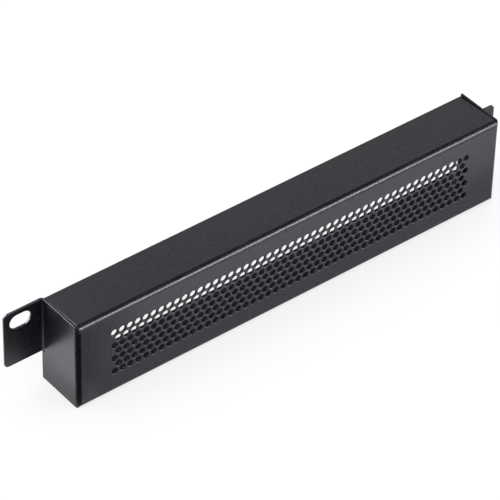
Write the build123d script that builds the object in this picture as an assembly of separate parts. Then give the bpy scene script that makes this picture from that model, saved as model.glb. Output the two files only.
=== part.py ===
from build123d import *
import math
import os

# Driving dimensions, in millimetres and degrees.
# The whole panel is one steel sheet: a perforated front, a flange folded back along each
# long edge, a side folded back at each end, and an ear folded outwards from each side.

# Rack standard: the height of one unit, and how far a fixing hole lies from the unit's edge.
rack_unit = 44.45
hole_to_unit_edge = 6.35
panel_clearance = 0.85

# The body, over its outside faces, from the front face to the plane that the ears bolt to.
body_length = 225.0
body_depth = 25.0
sheet = 1.0
bend_inside = 1.0

# The flanges, and the plain stretch of each side, stop short of the bolting plane.
flange_setback = 0.1
side_setback = 0.4
# Slit between a flange's end and the side that closes the corner.
corner_gap = 0.2
# The top flange is folded a little past square, so its rear edge lies low.
top_overbend = 2.3

# The ears: the left one is level with the panel's top, the right one lies near its bottom.
ear_width = 19.0
ear_height = 28.0
ear_corner = 2.0
# How far the right ear's lower edge lies above the panel's bottom.
right_ear_lift = 1.0
# Notch that frees an ear's bend from the plain edge beside it.
ear_relief = 0.6
slot_length = 10.5
slot_width = 7.0
slot_from_side = 10.8

# The perforation: round holes in a triangular pattern, centred on the front.
# Each hole is a prism of this many sides, with the area of the round hole.
hole_diameter = 3.0
hole_sides = 8
hole_pitch = 4.0
stagger_angle = 60.0
# Least distance from the panel's outline to the centres of the outermost holes.
end_border = 18.0
edge_border = 11.0

# Sizes that follow from those above.
square_fold = 90.0
panel_height = rack_unit - panel_clearance
slot_from_edge = hole_to_unit_edge - panel_clearance / 2
bend_outside = bend_inside + sheet
front_y = -body_depth / 2
web_reach = body_length / 2 - bend_outside
flange_reach = body_length / 2 - sheet - corner_gap
flange_flat = body_depth - flange_setback - bend_outside
# The side's flat, up to the ear's bend, and the plain stretch that goes on beside the ear.
side_flat = body_depth - 2 * bend_outside
plain_flat = body_depth - side_setback - bend_outside
row_pitch = hole_pitch * math.sin(math.radians(stagger_angle))
row_shift = hole_pitch * math.cos(math.radians(stagger_angle))
# Corner radius of a regular polygon that has the round hole's area.
hole_turn = 2 * math.pi / hole_sides
hole_corner = hole_diameter / 2 * math.sqrt(hole_turn / math.sin(hole_turn))


def block(x_range, y_range, z_range):
    """A rectangular solid between two values on each axis."""
    ranges = (x_range, y_range, z_range)
    size = [high - low for low, high in ranges]
    middle = [(high + low) / 2 for low, high in ranges]
    return Pos(*middle) * Box(*size)


def fold(angle, span, flat, outwards=False):
    """A bend and what follows it, for a sheet that arrives along +X and ends at x = 0.

    The sheet lies between y = 0, its outside face, and y = sheet. The bend turns about an
    axis along Z that is on the inside, or on the outside for a fold outwards. What follows
    is drawn as if it lay flat past x = 0, and is turned with the bend.
    """
    centre = -bend_inside if outwards else bend_outside
    turn = -angle if outwards else angle
    low, high = span
    edge = Plane.YZ * Pos(sheet / 2, (low + high) / 2) * Rectangle(sheet, high - low)
    bend = revolve(edge, Axis((0, centre, 0), (0, 0, math.copysign(1, turn))), angle)
    return bend + Pos(0, centre) * Rot(0, 0, turn) * Pos(0, -centre) * flat


def hole_places():
    """Centres of the holes, from the middle of the front: rows of one length and one less."""
    columns = 1 + int((body_length - 2 * end_border) // hole_pitch)
    rows = 1 + int((panel_height - 2 * edge_border) // row_pitch)
    first_x = -(columns - 1) * hole_pitch / 2
    first_z = -(rows - 1) * row_pitch / 2
    places = []
    for row in range(rows):
        staggered = row % 2
        for column in range(columns - staggered):
            x = first_x + column * hole_pitch + staggered * row_shift
            places.append(Pos(x, first_z + row * row_pitch))
    return places


def front_web():
    """The flat front between its four bends, with the field of holes."""
    outline = Rectangle(2 * web_reach, panel_height - 2 * bend_outside)
    hole = RegularPolygon(hole_corner, hole_sides, rotation=180 / hole_sides)
    sketch = outline - [place * hole for place in hole_places()]
    middle = Plane((0, front_y + sheet, panel_height / 2), x_dir=(1, 0, 0), z_dir=(0, -1, 0))
    return extrude(middle * sketch, sheet)


def long_flange(angle):
    """A flange along a long edge of the front, closing against the inside of each side."""
    span = (-flange_reach, flange_reach)
    return fold(angle, span, block((0, flange_flat), (0, sheet), span))


def ear(lift):
    """A slotted ear and its bend, this far above z = 0, with the two far corners rounded."""
    span = (lift, lift + ear_height)
    leaf = block((0, ear_width - bend_inside), (0, sheet), span)
    far_corners = leaf.edges().filter_by(Axis.Y).sort_by(Axis.X)[-2:]
    slot = Rot(90, 0, 0) * extrude(SlotOverall(slot_length, slot_width), 2 * sheet, both=True)
    slot = Pos(slot_from_side - bend_inside, 0, slot_from_edge) * slot
    return fold(square_fold, span, fillet(far_corners, ear_corner) - slot, outwards=True)


def side(ear_lift):
    """The bend, side and ear at one end, for a front that ends at x = 0.

    The side's outside face is at x = bend_outside, and the ear starts ear_lift above z = 0.
    """
    height = (0, panel_height)
    wall = block((0, side_flat), (0, sheet), height)
    plain_height = (ear_lift + ear_height + ear_relief, panel_height)
    wall += block((side_flat, plain_flat), (0, sheet), plain_height)
    end = fold(square_fold, height, wall + Pos(side_flat) * ear(ear_lift))
    # The corners of the bend are notched, to make room for the ends of the two flanges.
    for low in (0, panel_height - bend_outside):
        end -= block((0, bend_inside), (0, bend_outside), (low, low + bend_outside))
    return end


def perforated_panel():
    """The folded sheet. The left end is made like the right one, but upside down."""
    top = Plane((0, front_y, panel_height - bend_outside), x_dir=(0, 0, 1), z_dir=(-1, 0, 0))
    bottom = Plane((0, front_y, bend_outside), x_dir=(0, 0, -1), z_dir=(1, 0, 0))
    right = Plane((web_reach, front_y, 0), x_dir=(1, 0, 0), z_dir=(0, 0, 1))
    left = Plane((-web_reach, front_y, panel_height), x_dir=(-1, 0, 0), z_dir=(0, 0, -1))
    return front_web() + [
        top * long_flange(square_fold + top_overbend),
        bottom * long_flange(square_fold),
        right * side(right_ear_lift),
        left * side(0),
    ]


os.makedirs("parts", exist_ok=True)
export_step(perforated_panel(), "parts/perforated_panel.step")
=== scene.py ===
# %% [markdown]
# # A perforated rack panel in satin black powder coat
# The panel is one folded steel sheet that covers a unit of a rack. The solid that comes with
# this script is right in size but plain: its holes have eight sides and its edges are as sharp
# as a drawing. Here the same sheet is modelled again with round holes, with the wide folds
# that the photograph shows and with the soft edges that a coat of baked powder leaves. It
# stands in for that solid at the same place.

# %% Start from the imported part
import bmesh
import bpy
from math import cos, pi, radians, sin
from mathutils import Matrix, Vector
from mathutils.bvhtree import BVHTree


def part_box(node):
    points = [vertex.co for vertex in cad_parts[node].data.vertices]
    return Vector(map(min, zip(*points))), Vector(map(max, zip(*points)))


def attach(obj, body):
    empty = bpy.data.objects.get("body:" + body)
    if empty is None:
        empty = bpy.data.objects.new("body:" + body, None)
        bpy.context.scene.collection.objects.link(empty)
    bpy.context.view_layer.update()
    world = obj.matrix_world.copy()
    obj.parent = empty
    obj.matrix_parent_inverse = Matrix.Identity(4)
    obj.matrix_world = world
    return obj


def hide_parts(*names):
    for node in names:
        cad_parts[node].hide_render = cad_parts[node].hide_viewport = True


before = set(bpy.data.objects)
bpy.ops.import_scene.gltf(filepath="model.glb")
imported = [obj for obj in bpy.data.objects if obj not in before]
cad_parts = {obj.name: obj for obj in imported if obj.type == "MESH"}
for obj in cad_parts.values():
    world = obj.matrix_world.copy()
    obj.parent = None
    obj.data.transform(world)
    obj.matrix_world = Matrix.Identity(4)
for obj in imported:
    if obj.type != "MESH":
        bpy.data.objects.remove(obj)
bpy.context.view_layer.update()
low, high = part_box("perforated_panel")
print("solid, in millimetres:", [round(1000 * side, 1) for side in high - low])

# %% [markdown]
# ## The sheet's sizes
# The height, the depth and the length over the ears come from the solid's own box. The rest
# are the sheet's own sizes, in metres: how thick it is, how tightly it is folded, and where
# the holes and the slots lie. Everything that follows is worked out from these values. Points
# that lie closer together than the weld's distance are made one.

# %% Sizes of the folded sheet
MM = 0.001
WELD = 0.001 * MM
SHEET = 1 * MM
BEND_INSIDE = 1.5 * MM
BEND_OUTSIDE = BEND_INSIDE + SHEET
EAR_BEND = 1 * MM
FLANGE_SETBACK = 0.35 * MM
SIDE_SETBACK = 0.05 * MM
CORNER_GAP = 0.3 * MM
TOP_FOLD = radians(92.3)
BOTTOM_FOLD = radians(91.7)
SQUARE_FOLD = radians(90)

HOLE_RADIUS = 1.5 * MM
HOLE_PITCH = 4 * MM
ROW_PITCH = HOLE_PITCH * sin(radians(60))
HOLE_ROWS = 7
LONG_ROW = 48

EAR_WIDTH = 19 * MM
EAR_HEIGHT = 28 * MM
RIGHT_EAR_LIFT = 1 * MM
EAR_CORNER = 2 * MM
EAR_RELIEF = 0.6 * MM
SLOT_LENGTH = 10.5 * MM
SLOT_WIDTH = 7 * MM
SLOT_FROM_SIDE = 10.8 * MM
SLOT_FROM_EDGE = 5.925 * MM

FRONT_Y = low.y
DEPTH = high.y - low.y
HEIGHT = high.z - low.z
HALF_LENGTH = (high.x - low.x) / 2 - EAR_WIDTH
WEB_REACH = HALF_LENGTH - BEND_OUTSIDE
WEB_RISE = HEIGHT / 2 - BEND_OUTSIDE
FLANGE_REACH = HALF_LENGTH - SHEET - CORNER_GAP
FLANGE_FLAT = DEPTH - FLANGE_SETBACK - BEND_OUTSIDE
SIDE_FLAT = DEPTH - SIDE_SETBACK - BEND_OUTSIDE
print("body, in millimetres:", round(2000 * HALF_LENGTH, 1), "by", round(1000 * HEIGHT, 1))

# %% [markdown]
# ## A tree of nodes for the perforated front
# A press punches the front with a tool that repeats one round hole on a triangular grid, so
# Geometry Nodes suit it: one hole is described once and its places are a rule. Cutting 333
# cylinders out of a plate with Booleans would also work, but it is slow and leaves ragged
# faces. Here the flat of the front is a filled curve: a rectangle with circles in it. Each
# circle gets a lining, which rounds over from the face into the wall of the hole, and the
# lining's outer ring meets the filled face point by point, so both weld into one skin.

# %% Small helpers that add nodes
def new_tree(name, inputs):
    """An empty node tree for a modifier, with named inputs; returns the tree and its input node."""
    tree = bpy.data.node_groups.new(name, "GeometryNodeTree")
    tree.interface.new_socket("Geometry", in_out="OUTPUT", socket_type="NodeSocketGeometry")
    for label, kind in inputs:
        tree.interface.new_socket(label, in_out="INPUT", socket_type="NodeSocket" + kind)
    return tree, tree.nodes.new("NodeGroupInput")


def add_node(tree, kind, inputs=(), **settings):
    """Adds a node, sets its options, and fills its sockets with values or with other sockets."""
    node = tree.nodes.new(kind)
    for option, value in settings.items():
        setattr(node, option, value)
    for key, value in dict(inputs).items():
        if isinstance(value, bpy.types.NodeSocket):
            tree.links.new(value, node.inputs[key])
        else:
            node.inputs[key].default_value = value
    return node


def calc(tree, operation, first, second=0.0):
    """One step of arithmetic; gives the result's socket."""
    node = add_node(tree, "ShaderNodeMath", {0: first, 1: second}, operation=operation)
    return node.outputs[0]


# %% [markdown]
# ### The places of the holes
# The rows hold 48 and 47 holes by turns, and every other row starts half a pitch further in.
# A row and a column are worked out from each point's number, and the one point too many at
# the end of a short row is deleted.

# %% Points on a triangular grid
def hole_points(tree, given):
    """One point for each hole, centred on the origin, in the XY plane."""
    number = add_node(tree, "GeometryNodeInputIndex").outputs[0]
    long_row = given["Long row"]
    row = calc(tree, "FLOOR", calc(tree, "DIVIDE", number, long_row))
    column = calc(tree, "SUBTRACT", number, calc(tree, "MULTIPLY", row, long_row))
    odd = calc(tree, "MODULO", row, 2.0)
    last = calc(tree, "SUBTRACT", long_row, 1.0)
    across = calc(tree, "SUBTRACT", calc(tree, "ADD", column, calc(tree, "MULTIPLY", odd, 0.5)),
                  calc(tree, "MULTIPLY", last, 0.5))
    up = calc(tree, "SUBTRACT", row,
              calc(tree, "MULTIPLY", calc(tree, "SUBTRACT", given["Rows"], 1.0), 0.5))
    place = add_node(tree, "ShaderNodeCombineXYZ", {
        "X": calc(tree, "MULTIPLY", across, given["Pitch"]),
        "Y": calc(tree, "MULTIPLY", up, given["Row pitch"])})
    points = add_node(tree, "GeometryNodePoints", {
        "Count": calc(tree, "MULTIPLY", given["Rows"], long_row), "Position": place.outputs[0]})
    at_end = calc(tree, "GREATER_THAN", column, calc(tree, "SUBTRACT", long_row, 1.5))
    kept = add_node(tree, "GeometryNodeDeleteGeometry", {
        "Geometry": points.outputs[0], "Selection": calc(tree, "MULTIPLY", at_end, odd)})
    return kept.outputs[0]


# %% [markdown]
# ### The lining of one hole
# A flat grid is rolled into a tube: its width becomes the way round the hole, and its height
# the way through the sheet. The first and last few rows follow a quarter circle, so that the
# coat rounds over the edge of the hole on both faces.

# %% A tube with rounded ends
RIM_STEPS = 3


def hole_lining(tree, given):
    """The wall of one hole with both its rims, sunk along -Z from the face at z = 0."""
    steps = 2 * RIM_STEPS + 1
    grid = add_node(tree, "GeometryNodeMeshGrid", {
        "Size X": 1.0, "Size Y": 1.0, "Vertices X": calc(tree, "ADD", given["Hole facets"], 1.0),
        "Vertices Y": steps + 1})
    spot = add_node(tree, "ShaderNodeSeparateXYZ", {
        0: add_node(tree, "GeometryNodeInputPosition").outputs[0]})
    angle = calc(tree, "MULTIPLY", calc(tree, "ADD", spot.outputs[0], 0.5), 2 * pi)
    step = calc(tree, "ROUND", calc(tree, "MULTIPLY", calc(tree, "ADD", spot.outputs[1], 0.5), steps))
    from_face = calc(tree, "MINIMUM", step, calc(tree, "SUBTRACT", steps, step))
    turn = calc(tree, "MULTIPLY", from_face, pi / 2 / RIM_STEPS)
    rim = given["Rim radius"]
    inward = calc(tree, "MULTIPLY", rim, calc(tree, "SINE", turn))
    radius = calc(tree, "SUBTRACT", calc(tree, "ADD", given["Hole radius"], rim), inward)
    sunk = calc(tree, "SUBTRACT", rim, calc(tree, "MULTIPLY", rim, calc(tree, "COSINE", turn)))
    far_half = calc(tree, "GREATER_THAN", step, RIM_STEPS + 0.5)
    mirrored = calc(tree, "SUBTRACT", given["Sheet"], calc(tree, "MULTIPLY", sunk, 2.0))
    depth = calc(tree, "ADD", sunk, calc(tree, "MULTIPLY", far_half, mirrored))
    place = add_node(tree, "ShaderNodeCombineXYZ", {
        "X": calc(tree, "MULTIPLY", radius, calc(tree, "COSINE", angle)),
        "Y": calc(tree, "MULTIPLY", radius, calc(tree, "SINE", angle)),
        "Z": calc(tree, "MULTIPLY", depth, -1.0)})
    tube = add_node(tree, "GeometryNodeSetPosition", {
        "Geometry": grid.outputs[0], "Position": place.outputs[0]})
    return tube.outputs[0]


# %% [markdown]
# ### The two faces, and the whole front
# The front face and the back face are the same filled curve. The back one is moved through
# the sheet and turned over. At the end everything is realized, welded and stood up.

# %% The tree of the perforated front
def joined(tree, *parts):
    """All the given geometry in one."""
    node = tree.nodes.new("GeometryNodeJoinGeometry")
    for part in parts:
        tree.links.new(part, node.inputs[0])
    return node.outputs[0]


def repeated(tree, points, part):
    """The part at every point, as real geometry."""
    copies = add_node(tree, "GeometryNodeInstanceOnPoints", {"Points": points, "Instance": part})
    return add_node(tree, "GeometryNodeRealizeInstances", {0: copies.outputs[0]}).outputs[0]


def perforated_web_tree():
    """The tree whose modifier makes the flat front with all its holes."""
    tree, source = new_tree("Perforated web", [
        ("Hole radius", "Float"), ("Rim radius", "Float"), ("Pitch", "Float"),
        ("Row pitch", "Float"), ("Rows", "Int"), ("Long row", "Int"), ("Hole facets", "Int"),
        ("Sheet", "Float"), ("Web length", "Float"), ("Web height", "Float"),
        ("Front", "Float"), ("Middle height", "Float"), ("Coat", "Material")])
    given = source.outputs
    points = hole_points(tree, given)
    circle = add_node(tree, "GeometryNodeCurvePrimitiveCircle", {
        "Resolution": given["Hole facets"],
        "Radius": calc(tree, "ADD", given["Hole radius"], given["Rim radius"])})
    outline = add_node(tree, "GeometryNodeCurvePrimitiveQuadrilateral", {
        "Width": given["Web length"], "Height": given["Web height"]})
    curves = joined(tree, outline.outputs[0], repeated(tree, points, circle.outputs[0]))
    face = add_node(tree, "GeometryNodeFillCurve", {0: curves}).outputs[0]
    through = add_node(tree, "ShaderNodeCombineXYZ", {
        "Z": calc(tree, "MULTIPLY", given["Sheet"], -1.0)})
    turned = add_node(tree, "GeometryNodeFlipFaces", {0: face})
    back = add_node(tree, "GeometryNodeTransform", {
        0: turned.outputs[0], "Translation": through.outputs[0]})
    linings = repeated(tree, points, hole_lining(tree, given))
    skin = add_node(tree, "GeometryNodeMergeByDistance", {
        "Geometry": joined(tree, face, back.outputs[0], linings), "Distance": WELD})
    place = add_node(tree, "ShaderNodeCombineXYZ", {
        "Y": given["Front"], "Z": given["Middle height"]})
    upright = add_node(tree, "GeometryNodeTransform", {
        0: skin.outputs[0], "Translation": place.outputs[0], "Rotation": (pi / 2, 0, 0)})
    real = add_node(tree, "GeometryNodeRealizeInstances", {0: upright.outputs[0]})
    coated = add_node(tree, "GeometryNodeSetMaterial", {
        "Geometry": real.outputs[0], "Material": given["Coat"]})
    result = tree.nodes.new("NodeGroupOutput")
    tree.links.new(coated.outputs[0], result.inputs[0])
    return tree


# %% [markdown]
# ## The coat
# Powder coat is baked plastic, a tenth of a millimetre thick. This one is nearly black, with a
# satin shine. Its surface is fine orange peel, soft bumps well under a millimetre wide, with
# a finer grain of powder in it. Both raise the bump, the peel also varies the tone, and broad
# clouds vary the shine. All of it is procedural and reads Object coordinates, so the grain
# keeps its real size on every face.

# %% The powder coat's material
BUMP_DEPTH = 0.06 * MM
GRAIN_SHARE = 0.45
DARKEST, LIGHTEST = 0.001, 0.016
BLUE_SHARE = 1.3
SHINIEST, DULLEST = 0.29, 0.34
MIRRORED_TINT = (0.88, 0.87, 1, 1)


def powder_coat():
    """Satin black powder coat with orange peel."""
    material = bpy.data.materials.new("black_powder_coat")
    material.use_nodes = True
    tree = material.node_tree
    surface = tree.nodes["Principled BSDF"]
    where = add_node(tree, "ShaderNodeTexCoord").outputs["Object"]
    peel = add_node(tree, "ShaderNodeTexNoise", {
        "Vector": where, "Scale": 1100.0, "Detail": 3.0, "Roughness": 0.55})
    grain = add_node(tree, "ShaderNodeTexNoise", {
        "Vector": where, "Scale": 2600.0, "Detail": 2.0, "Roughness": 0.5})
    cloud = add_node(tree, "ShaderNodeTexNoise", {"Vector": where, "Scale": 60.0, "Detail": 2.0})
    fine = calc(tree, "MULTIPLY", grain.outputs["Fac"], GRAIN_SHARE)
    bump = add_node(tree, "ShaderNodeBump", {
        "Strength": 1.0, "Distance": BUMP_DEPTH,
        "Height": calc(tree, "ADD", peel.outputs["Fac"], fine)})
    tone = add_node(tree, "ShaderNodeMapRange", {
        "Value": peel.outputs["Fac"], "From Min": 0.35, "From Max": 0.65,
        "To Min": DARKEST, "To Max": LIGHTEST}).outputs[0]
    colour = add_node(tree, "ShaderNodeCombineColor", {
        "Red": tone, "Green": tone, "Blue": calc(tree, "MULTIPLY", tone, BLUE_SHARE)})
    satin = add_node(tree, "ShaderNodeMapRange", {
        "Value": cloud.outputs["Fac"], "From Min": 0.3, "From Max": 0.7,
        "To Min": SHINIEST, "To Max": DULLEST})
    tree.links.new(colour.outputs[0], surface.inputs["Base Color"])
    tree.links.new(satin.outputs[0], surface.inputs["Roughness"])
    tree.links.new(bump.outputs[0], surface.inputs["Normal"])
    surface.inputs["IOR"].default_value = 1.5
    surface.inputs["Specular IOR Level"].default_value = 0.54
    surface.inputs["Specular Tint"].default_value = MIRRORED_TINT
    return material


coat = powder_coat()
print("coat:", coat.name, "with", len(coat.node_tree.nodes), "nodes")

# %% [markdown]
# ## The perforated front as a mesh
# The modifier's inputs are set by each socket's identifier before the object is first
# evaluated. The result is then copied into a plain mesh, and the modifier's object is removed.

# %% Run the tree and keep its result
HOLE_FACETS = 24
RIM_RADIUS = 0.3 * MM


def made_by_tree(name, tree, values):
    """The mesh that a node tree makes with the given values."""
    carrier = bpy.data.objects.new(name, bpy.data.meshes.new(name))
    bpy.context.scene.collection.objects.link(carrier)
    modifier = carrier.modifiers.new(name, "NODES")
    modifier.node_group = tree
    for item in tree.interface.items_tree:
        if item.in_out == "INPUT":
            modifier[item.identifier] = values[item.name]
    depsgraph = bpy.context.evaluated_depsgraph_get()
    mesh = bpy.data.meshes.new_from_object(carrier.evaluated_get(depsgraph))
    bpy.data.objects.remove(carrier)
    return mesh


web = made_by_tree("web", perforated_web_tree(), {
    "Hole radius": HOLE_RADIUS, "Rim radius": RIM_RADIUS, "Pitch": HOLE_PITCH,
    "Row pitch": ROW_PITCH, "Rows": HOLE_ROWS, "Long row": LONG_ROW,
    "Hole facets": HOLE_FACETS, "Sheet": SHEET, "Web length": 2 * WEB_REACH,
    "Web height": 2 * WEB_RISE, "Front": FRONT_Y, "Middle height": HEIGHT / 2, "Coat": coat})
print("perforated front:", len(web.polygons), "faces,", len(web.vertices), "points")

# %% [markdown]
# ## The rest of the sheet, drawn flat and then folded
# A sheet-metal worker cuts a flat blank and folds it. The mesh is made the same way, because
# it keeps every fold and edge true: each flap is drawn as flat faces, with narrow strips where
# it will bend, and one function then says where any point of the blank goes once it is folded.
# A flap's points are given as how far they lie past its fold line and how far along it.

# %% Where a point of the blank goes
BEND_STEPS = 10
MIDDLE_RADIUS = BEND_INSIDE + SHEET / 2
EAR_MIDDLE_RADIUS = EAR_BEND + SHEET / 2


def past_fold(distance, inward, angle, outwards=False):
    """Folds a point of a flap that lies this far past the fold line, and this deep in the sheet.

    Gives how far it lies on, in line with the sheet before the fold, and how far to the
    inside of that sheet's outside face.
    """
    if outwards:
        centre, radius, middle, sign = -EAR_BEND, EAR_BEND + inward, EAR_MIDDLE_RADIUS, -1
    else:
        centre, radius, middle, sign = BEND_OUTSIDE, BEND_OUTSIDE - inward, MIDDLE_RADIUS, 1
    if distance <= 0:
        return distance, inward
    turn = min(distance / middle, angle)
    straight = distance - turn * middle
    on = radius * sin(turn) + straight * cos(turn)
    aside = centre - sign * radius * cos(turn) + sign * straight * sin(turn)
    return on, aside


def bend_lines(start, length):
    """Distances past a fold line at which a bend is divided."""
    return [start + length * step / BEND_STEPS for step in range(BEND_STEPS + 1)]


SIDE_START = SQUARE_FOLD * MIDDLE_RADIUS
EAR_FOLD = SIDE_START + DEPTH - BEND_OUTSIDE - EAR_BEND - SHEET
EAR_START = EAR_FOLD + SQUARE_FOLD * EAR_MIDDLE_RADIUS
PLAIN_END = SIDE_START + SIDE_FLAT
EAR_END = EAR_START + EAR_WIDTH - EAR_BEND
print("blank of one end, in millimetres:", round(1000 * EAR_END, 2))

# %% [markdown]
# ### The flanges and the ends, once folded
# A flange folds back about a line along X, and an end about an upright line. Each kind of flap
# has a function that says where the blank's points go in the panel. An end is folded twice:
# back at its first line, and outwards again at the ear's.

# %% Folding the flanges and the ends
THINNED_RUN = 0.3 * MM


def fold_flange(sign, angle):
    """A function that folds the points of the top flange, for sign 1, or of the bottom one."""
    def place(distance, along, inward):
        on, aside = past_fold(distance, inward, angle)
        return Vector((along, FRONT_Y + aside, HEIGHT / 2 + sign * (WEB_RISE + on)))
    return place


def fold_end(sign, lift):
    """A function that folds the points of the right end, for sign 1, or of the left one.

    A point's place along the fold is its height above the edge that the ear lies near. Above
    the ear's notch the sheet goes straight on. Beside a flange's end the bend is thinned from
    the inside, back to the side's inner face.
    """
    def place(distance, along, inward):
        on_ear = distance > EAR_FOLD and along < lift + EAR_HEIGHT + EAR_RELIEF / 2
        on, aside = past_fold(EAR_FOLD if on_ear else distance, inward, SQUARE_FOLD)
        across, back = WEB_REACH + on, FRONT_Y + aside
        beside_flange = min(along, HEIGHT - along) < BEND_OUTSIDE - THINNED_RUN / 2
        if beside_flange and distance > 0:
            across = max(across, HALF_LENGTH - SHEET)
        if on_ear:
            on, aside = past_fold(distance - EAR_FOLD, inward, SQUARE_FOLD, outwards=True)
            across, back = HALF_LENGTH - aside, FRONT_Y + DEPTH - EAR_BEND - SHEET + on
        return Vector((sign * across, back, HEIGHT / 2 + sign * (along - HEIGHT / 2)))
    return place


# %% [markdown]
# ### From flat faces to a folded sheet
# Each face of the blank is listed by its corners. The function below puts it on the outside
# and on the inside of the sheet. Where a face's edge has no neighbour the sheet was cut, so
# the two skins are joined there by a narrow wall. The edge that meets the perforated front
# stays open, because it is welded to the front later.

# %% Thicken and fold a blank
def add_flap(mesh, faces, place, web_edge):
    """Adds a folded flap, given as flat faces whose corners are (distance, along) pairs.

    The web's edge is given by the two places along the fold line between which the flap
    and the front are one sheet.
    """
    corners, used = {}, {}

    def skin_point(corner, inward):
        key = (round(corner[0], 9), round(corner[1], 9), inward)
        if key not in corners:
            corners[key] = mesh.verts.new(place(corner[0], corner[1], inward))
        return corners[key]

    for face in faces:
        outside = [skin_point(corner, 0.0) for corner in face]
        inside = [skin_point(corner, SHEET) for corner in face]
        mesh.faces.new(outside)
        mesh.faces.new(reversed(inside))
        for first, second in zip(range(len(face)), [*range(1, len(face)), 0]):
            pair = frozenset((outside[first], outside[second]))
            wall = (outside[first], outside[second], inside[second], inside[first])
            on_web = all(face[corner][0] == 0.0 and web_edge[0] <= face[corner][1] <= web_edge[1]
                         for corner in (first, second))
            used.setdefault(pair, []).append(None if on_web else wall)
    for walls in used.values():
        if len(walls) == 1 and walls[0]:
            mesh.faces.new(reversed(walls[0]))


def strips(distances, edges):
    """Flat faces in a grid, divided at the given distances and at the given places along."""
    return [[(start, low_edge), (end, low_edge), (end, high_edge), (start, high_edge)]
            for start, end in zip(distances, distances[1:])
            for low_edge, high_edge in zip(edges, edges[1:])]


# %% [markdown]
# ### The long flanges
# A flange and its bend are a little longer than the flat of the front: their ends fill the
# notched corners and close against the inside of each side. Both were folded slightly past
# square: in the photograph the top one's rear edge sits almost a millimetre low.

# %% Draw a flange's blank
def flange_faces(angle):
    """The flat faces of a long flange: the bend's strips, then the flat."""
    lines = bend_lines(0.0, angle * MIDDLE_RADIUS)
    root = [(0.0, -FLANGE_REACH), (lines[1], -FLANGE_REACH), (lines[1], FLANGE_REACH),
            (0.0, FLANGE_REACH), (0.0, WEB_REACH), (0.0, -WEB_REACH)]
    rest = [*lines[1:], lines[-1] + FLANGE_FLAT]
    return [root] + strips(rest, (-FLANGE_REACH, FLANGE_REACH))


# %% [markdown]
# ### The ends, with their ears
# An end is the longest flap: a bend, the side, a second bend the other way, and the ear. The
# corners of the blank are notched beside the first bend, and the corner past each notch is cut
# round. A smaller notch frees the ear's bend from the plain edge next to it. The ear's face is
# two pieces that meet along the middle of the slot, because a face can't have a hole in it.

# %% Draw an end's blank
NOTCH_STEPS = 4
CORNER_SLIT = 0.06 * MM
CORNER_CUTS = (1.1 * MM, 0.4 * MM, 0.1 * MM)
SLOT_STEPS = 12
CORNER_STEPS = 5


def arc(centre, radius, start, end, steps):
    """Points on an arc, as (distance, along) pairs, from one angle to another in degrees."""
    turns = [radians(start + (end - start) * step / steps) for step in range(steps + 1)]
    return [(centre[0] + radius * cos(turn), centre[1] + radius * sin(turn)) for turn in turns]


def ear_faces(lift):
    """The ear's flat: one face below the middle of the slot and one above it."""
    slot_middle = EAR_START - EAR_BEND + SLOT_FROM_SIDE
    reach, radius = SLOT_LENGTH / 2 - SLOT_WIDTH / 2, SLOT_WIDTH / 2
    near, far = (slot_middle - reach, SLOT_FROM_EDGE), (slot_middle + reach, SLOT_FROM_EDGE)
    inner = EAR_END - EAR_CORNER
    below = [(EAR_START, lift), *arc((inner, lift + EAR_CORNER), EAR_CORNER, -90, 0, CORNER_STEPS),
             (EAR_END, SLOT_FROM_EDGE), *arc(far, radius, 0, -90, SLOT_STEPS),
             *arc(near, radius, -90, -180, SLOT_STEPS), (EAR_START, SLOT_FROM_EDGE)]
    above = [(EAR_START, SLOT_FROM_EDGE), *arc(near, radius, 180, 90, SLOT_STEPS),
             *arc(far, radius, 90, 0, SLOT_STEPS), (EAR_END, SLOT_FROM_EDGE),
             *arc((inner, lift + EAR_HEIGHT - EAR_CORNER), EAR_CORNER, 0, 90, CORNER_STEPS),
             (EAR_START, lift + EAR_HEIGHT)]
    return [below, above]


def cut_corner(face, lines):
    """The face, with the blank's corners past the notches cut back at the first few lines."""
    cuts = dict(zip(lines, CORNER_CUTS))
    corners = []
    for distance, along in face:
        cut = cuts.get(distance, 0.0)
        corners.append((distance, min(max(along, cut), HEIGHT - cut)))
    return corners


def end_faces(lift):
    """The flat faces of one end, from its fold line to the tip of its ear.

    The lift is how far the ear starts above the edge that it lies near.
    """
    lines = bend_lines(0.0, SIDE_START)
    notched, full = lines[:NOTCH_STEPS + 1], lines[NOTCH_STEPS:]
    under, over = BEND_OUTSIDE + CORNER_SLIT, HEIGHT - BEND_OUTSIDE - CORNER_SLIT
    rows = (0.0, BEND_OUTSIDE - THINNED_RUN, under, over, HEIGHT - BEND_OUTSIDE + THINNED_RUN,
            HEIGHT)
    faces = [[(0.0, BEND_OUTSIDE), (notched[1], under), (notched[1], over),
              (0.0, HEIGHT - BEND_OUTSIDE)]]
    faces += strips(notched[1:], (under, over))
    faces += [cut_corner(face, full) for face in strips(full, rows)]
    ear_top = lift + EAR_HEIGHT
    relief_top = ear_top + EAR_RELIEF
    ear_side = [(EAR_FOLD, height) for height in sorted({0.0, lift, ear_top, relief_top, HEIGHT})]
    faces.append([*ear_side, *((SIDE_START, row) for row in reversed(rows))][::-1])
    faces.append([(EAR_FOLD, relief_top), (PLAIN_END, relief_top), (PLAIN_END, HEIGHT),
                  (EAR_FOLD, HEIGHT)])
    ear_lines = bend_lines(EAR_FOLD, EAR_START - EAR_FOLD)
    faces += strips(ear_lines[:-1], (lift, ear_top))
    faces.append([(ear_lines[-2], lift), (EAR_START, lift), (EAR_START, SLOT_FROM_EDGE),
                  (EAR_START, ear_top), (ear_lines[-2], ear_top)])
    return faces + ear_faces(lift)


print("faces in the blank of one end:", len(end_faces(0.0)))

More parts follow.
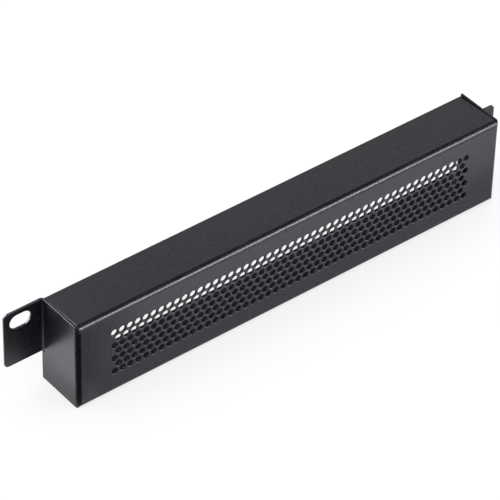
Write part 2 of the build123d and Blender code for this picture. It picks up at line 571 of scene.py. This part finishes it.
# %% [markdown]
# ### Weld the flaps to the front
# The plain stretch behind each ear's notch stays in the side's plane, and the ear's bend
# starts from the same line, so the two only share that line. Doubles are merged, the normals
# of the closed skin are turned outwards, and every cut edge is rounded, because a coat of
# powder draws thin over a sharp edge and leaves it soft. Rounding only takes metal away, but
# in the tiny corners beside the notches it can push a point out, and such points are put back.

# %% Build the whole sheet
EDGE_ROUNDING = 0.2 * MM
CUT_ANGLE = radians(60)


def put_back(mesh, square_cut):
    """Puts each point that the rounding pushed out of the square-cut sheet back onto it."""
    count = 0
    for point in mesh.verts:
        place, normal, _, _ = square_cut.find_nearest(point.co)
        if (point.co - place).dot(normal) > WELD:
            point.co = place
            count += 1
    print("points put back onto the sheet:", count)


def folded_sheet():
    """One closed mesh of the whole panel, with rounded cut edges."""
    mesh = bmesh.new()
    mesh.from_mesh(web)
    long_edge, end_edge = (-WEB_REACH, WEB_REACH), (BEND_OUTSIDE, HEIGHT - BEND_OUTSIDE)
    add_flap(mesh, flange_faces(TOP_FOLD), fold_flange(1, TOP_FOLD), long_edge)
    add_flap(mesh, flange_faces(BOTTOM_FOLD), fold_flange(-1, BOTTOM_FOLD), long_edge)
    add_flap(mesh, end_faces(RIGHT_EAR_LIFT), fold_end(1, RIGHT_EAR_LIFT), end_edge)
    add_flap(mesh, end_faces(0.0), fold_end(-1, 0.0), end_edge)
    bmesh.ops.remove_doubles(mesh, verts=mesh.verts, dist=WELD)
    bmesh.ops.recalc_face_normals(mesh, faces=mesh.faces)
    cut_edges = [edge for edge in mesh.edges
                 if CUT_ANGLE < edge.calc_face_angle(0.0) < pi - CUT_ANGLE]
    square_cut = BVHTree.FromBMesh(mesh)
    bmesh.ops.bevel(mesh, geom=cut_edges, offset=EDGE_ROUNDING, offset_type="OFFSET", segments=2,
                    profile=0.5, affect="EDGES", clamp_overlap=False)
    put_back(mesh, square_cut)
    open_edges = sum(len(edge.link_faces) != 2 for edge in mesh.edges)
    print("folded sheet:", len(mesh.faces), "faces,", len(cut_edges), "cut edges,", open_edges, "open")
    for face in mesh.faces:
        face.smooth = True
        face.material_index = 0
    result = bpy.data.meshes.new("panel_sheet")
    mesh.to_mesh(result)
    mesh.free()
    return result


sheet_mesh = folded_sheet()

# %% [markdown]
# ### Flat stays flat in the shading
# Smooth shading blends the normals of all the faces round a point, and would make the flats
# look dented beside each hole and fold. So each point takes the normal of the widest plane
# that meets there, where one plane clearly wins, and the blend is kept only inside the folds
# and the rounded edges.

# %% A normal for every point
SAME_PLANE = cos(radians(1))
CLEAR_WIN = 0.62


def plane_normals(mesh):
    """For each vertex, the normal of its widest plane, or the blend where no plane is widest."""
    planes = [[] for _ in mesh.vertices]
    for face in mesh.polygons:
        for vertex in face.vertices:
            for plane in planes[vertex]:
                if plane[0].dot(face.normal) > SAME_PLANE:
                    plane[1] += face.area
                    break
            else:
                planes[vertex].append([face.normal.copy(), face.area])
    normals = []
    for found in planes:
        total = sum(area for _, area in found)
        normal, widest = max(found, key=lambda plane: plane[1])
        if widest < CLEAR_WIN * total:
            normal = sum((direction * area for direction, area in found), Vector()).normalized()
        normals.append(normal)
    return normals


sheet_mesh.normals_split_custom_set_from_vertices(plane_normals(sheet_mesh))
panel = bpy.data.objects.new("coated_panel", sheet_mesh)
bpy.context.scene.collection.objects.link(panel)
sheet_mesh.materials.clear()
sheet_mesh.materials.append(coat)
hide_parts("perforated_panel")
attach(panel, "root")
print("panel:", len(sheet_mesh.polygons), "faces")

# %% [markdown]
# ## The studio
# The panel stands on white paper under an even white sky, which give it soft light. A satin
# black coat shows little of its own colour: nearly all of its look is what it reflects. In the
# photograph the panel's left side reflects something bright, the folds towards the camera
# reflect a dark room with one bright lamp in it, and the front and the top lie between. So
# the sky is a little dimmer in reflections, and cards stand in for the lamps and the room.

# %% Floor and sky
PAPER_MATT, PAPER_GLOW = 0.35, 0.7
SKY_DIMMED = 0.15
PAPER_SIZE = 8


def shown_rays(tree):
    """A value that is 1 for rays that show the surroundings: to the camera and in reflections."""
    path = add_node(tree, "ShaderNodeLightPath")
    seen = calc(tree, "MAXIMUM", path.outputs["Is Camera Ray"], path.outputs["Is Glossy Ray"])
    return calc(tree, "MAXIMUM", seen, path.outputs["Is Transmission Ray"])


def paper():
    """White paper: a plain matt surface, with a little light added for the rays that show it."""
    material = bpy.data.materials.new("white_paper")
    material.use_nodes = True
    tree = material.node_tree
    tree.nodes.clear()
    matt = add_node(tree, "ShaderNodeBsdfDiffuse", {"Color": (PAPER_MATT, PAPER_MATT, PAPER_MATT, 1)})
    glow = add_node(tree, "ShaderNodeEmission", {
        "Color": (1, 1, 1, 1), "Strength": calc(tree, "MULTIPLY", shown_rays(tree), PAPER_GLOW)})
    both = add_node(tree, "ShaderNodeAddShader", {0: matt.outputs[0], 1: glow.outputs[0]})
    add_node(tree, "ShaderNodeOutputMaterial", {"Surface": both.outputs[0]})
    return material


def white_sky():
    """Even white light from all round, and a white background; a little dimmer in reflections."""
    world = bpy.data.worlds.new("studio")
    bpy.context.scene.world = world
    world.use_nodes = True
    tree = world.node_tree
    tree.nodes.clear()
    path = add_node(tree, "ShaderNodeLightPath")
    dimmed = calc(tree, "MULTIPLY", path.outputs["Is Glossy Ray"], SKY_DIMMED)
    sky = add_node(tree, "ShaderNodeBackground", {
        "Color": (1, 1, 1, 1), "Strength": calc(tree, "SUBTRACT", 1.0, dimmed)})
    add_node(tree, "ShaderNodeOutputWorld", {"Surface": sky.outputs[0]})


bpy.ops.mesh.primitive_plane_add(size=PAPER_SIZE, location=(0, 0, 0))
floor = bpy.context.object
floor.name = "paper_floor"
floor.data.materials.append(paper())
white_sky()

# %% [markdown]
# ### The cards that the coat mirrors
# A photographer lays and hangs black, grey and lit cards round a glossy black product, to give
# each of its faces its own tone and each fold its own light line. Each card here is a flat
# sheet with one brightness, and only reflections show it: it lights nothing, casts no shadow
# and isn't in the picture. Some hang far off, where only their direction matters, some lie on
# the paper, and two of those spread like a fan from the panel's front left corner.

# %% Four kinds of card
COOL_WHITE, WARM_WHITE = (0.95, 0.95, 1, 1), (1, 1, 0.95, 1)
FAR_OFF = 1.6
ON_PAPER, ABOVE_OTHERS = 0.4 * MM, 0.5 * MM
FAN_PARTS = 8
FRONT_CORNER = Vector((-HALF_LENGTH, FRONT_Y, 0))


def card(name, corners, brightness, colour=COOL_WHITE):
    """A flat card with the given corners, which only reflections show."""
    material = bpy.data.materials.new(name)
    material.use_nodes = True
    tree = material.node_tree
    tree.nodes.clear()
    lit = add_node(tree, "ShaderNodeEmission", {"Color": colour, "Strength": brightness})
    add_node(tree, "ShaderNodeOutputMaterial", {"Surface": lit.outputs[0]})
    mesh = bpy.data.meshes.new(name)
    mesh.from_pydata(corners, [], [list(range(len(corners)))])
    mesh.materials.append(material)
    item = bpy.data.objects.new(name, mesh)
    bpy.context.scene.collection.objects.link(item)
    item.visible_camera = item.visible_diffuse = item.visible_shadow = False


def level_card(name, x_range, y_range, height, brightness):
    """A level card between two values of x and two of y."""
    (left, right), (front, back) = x_range, y_range
    card(name, [(left, front, height), (right, front, height), (right, back, height),
                (left, back, height)], brightness)


def hung_card(name, azimuths, heights, brightness, colour=COOL_WHITE):
    """A card far off, between two azimuths from +Y over +X and two heights, all in degrees."""
    (first, last), (under, over) = azimuths, heights
    corners = []
    for turn, rise in ((first, under), (last, under), (last, over), (first, over)):
        turn, rise = radians(turn), radians(rise)
        corners.append(FAR_OFF * Vector((sin(turn) * cos(rise), cos(turn) * cos(rise), sin(rise))))
    card(name, corners, brightness, colour)


def upright_card(name, x_range, y, z_range, brightness):
    """An upright card that faces along Y, between two values of x and two of z."""
    (left, right), (under, over) = x_range, z_range
    card(name, [(left, y, under), (right, y, under), (right, y, over), (left, y, over)], brightness)


def fan_card(name, azimuths, reach, brightness):
    """A card like an open fan on the paper, with its point at the panel's front left corner."""
    first, last = azimuths
    turns = [radians(first + (last - first) * part / FAN_PARTS) for part in range(FAN_PARTS + 1)]
    point = FRONT_CORNER + Vector((0, 0, ABOVE_OTHERS))
    rim = [point + Vector((sin(turn), cos(turn), 0)) * reach for turn in turns]
    card(name, [point, *rim], brightness)


# %% [markdown]
# ### The lamps
# Two warm cards stand for the lamp that draws the light line along the front's top fold; the
# line is brightest at its left end. A lamp on each side of them lights the lower rims of the
# holes, and one close to the left end draws the line along that side's upper edge.

# %% The cards of the lamps
LAMP_HEIGHTS = (21.5, 33)
hung_card("lamp_card", (125, 150), LAMP_HEIGHTS, 14, WARM_WHITE)
hung_card("lamp_end_card", (150, 160), LAMP_HEIGHTS, 38, WARM_WHITE)
hung_card("right_lamp_card", (90, 124), (1, 27), 12)
hung_card("left_lamp_card", (162, 186), (24, 46), 12)
upright_card("side_lamp_card", (-0.22, -0.12), 0.05, (0.042, 0.145), 15)

# %% [markdown]
# ### The room and the paper
# The dark room is a black card overhead, which the top and the folds reflect, and a grey one
# at the horizon, below the lamp. On the paper, a black fan darkens the upright fold at the
# front left corner, with a grey one beside it. A bright card lies where the left side
# reflects it, and two lie before the front: the far one for its upper part and the near one
# for its lower part. A dim card behind the open back darkens what the holes show.

# %% The cards of the room and of the paper
hung_card("horizon_card", (132, 166), (1, 18), 0.35)
level_card("overhead_card", (-0.3, 0.8), (-0.6, 0.46), 0.6, 0.0)
fan_card("corner_card", (154, 296), 0.16, 0.0)
fan_card("left_front_card", (126, 154), 0.07, 0.55)
level_card("side_card", (-0.35, -HALF_LENGTH - 7 * MM), (FRONT_Y, 0.2), ON_PAPER, 1.6)
level_card("front_card", (-0.06, 0.4), (-0.3, FRONT_Y - 24 * MM), ON_PAPER, 1.4)
level_card("near_card", (-0.1, 0.18), (FRONT_Y - 16 * MM, FRONT_Y - 1 * MM), ON_PAPER, 0.7)
upright_card("inner_card", (-0.111, 0.111), 0.0135, (0.0005, 0.0425), 0.15)

# %% [markdown]
# ## The camera
# A long lens, well away from the panel, looks down on its front and its left end. The place
# was found by fitting a camera to the panel's corners and holes in the photograph.

# %% Camera
CAMERA_AZIMUTH = radians(39.203)
CAMERA_DROP = radians(40.331)
CAMERA_ROLL = radians(1.541)
CAMERA_PLACE = Vector((-705.34, -847.05, 955.15)) * MM
LENS = 246.997


def add_camera():
    """Adds the scene's camera, aimed and rolled as in the photograph."""
    data = bpy.data.cameras.new("camera")
    data.lens, data.sensor_width = LENS, 36
    data.clip_start, data.clip_end = 0.05, 50
    camera = bpy.data.objects.new("camera", data)
    bpy.context.scene.collection.objects.link(camera)
    bpy.context.scene.camera = camera
    ahead = Vector((sin(CAMERA_AZIMUTH) * cos(CAMERA_DROP), cos(CAMERA_AZIMUTH) * cos(CAMERA_DROP),
                    -sin(CAMERA_DROP)))
    level = Vector((cos(CAMERA_AZIMUTH), -sin(CAMERA_AZIMUTH), 0))
    above = level.cross(ahead)
    right = level * cos(CAMERA_ROLL) + above * sin(CAMERA_ROLL)
    up = above * cos(CAMERA_ROLL) - level * sin(CAMERA_ROLL)
    turn = Matrix((right, up, -ahead)).transposed()
    camera.matrix_world = Matrix.Translation(CAMERA_PLACE) @ turn.to_4x4()
    print("camera, in metres:", [round(value, 3) for value in CAMERA_PLACE])


add_camera()
bpy.context.scene.view_settings.view_transform = "Standard"
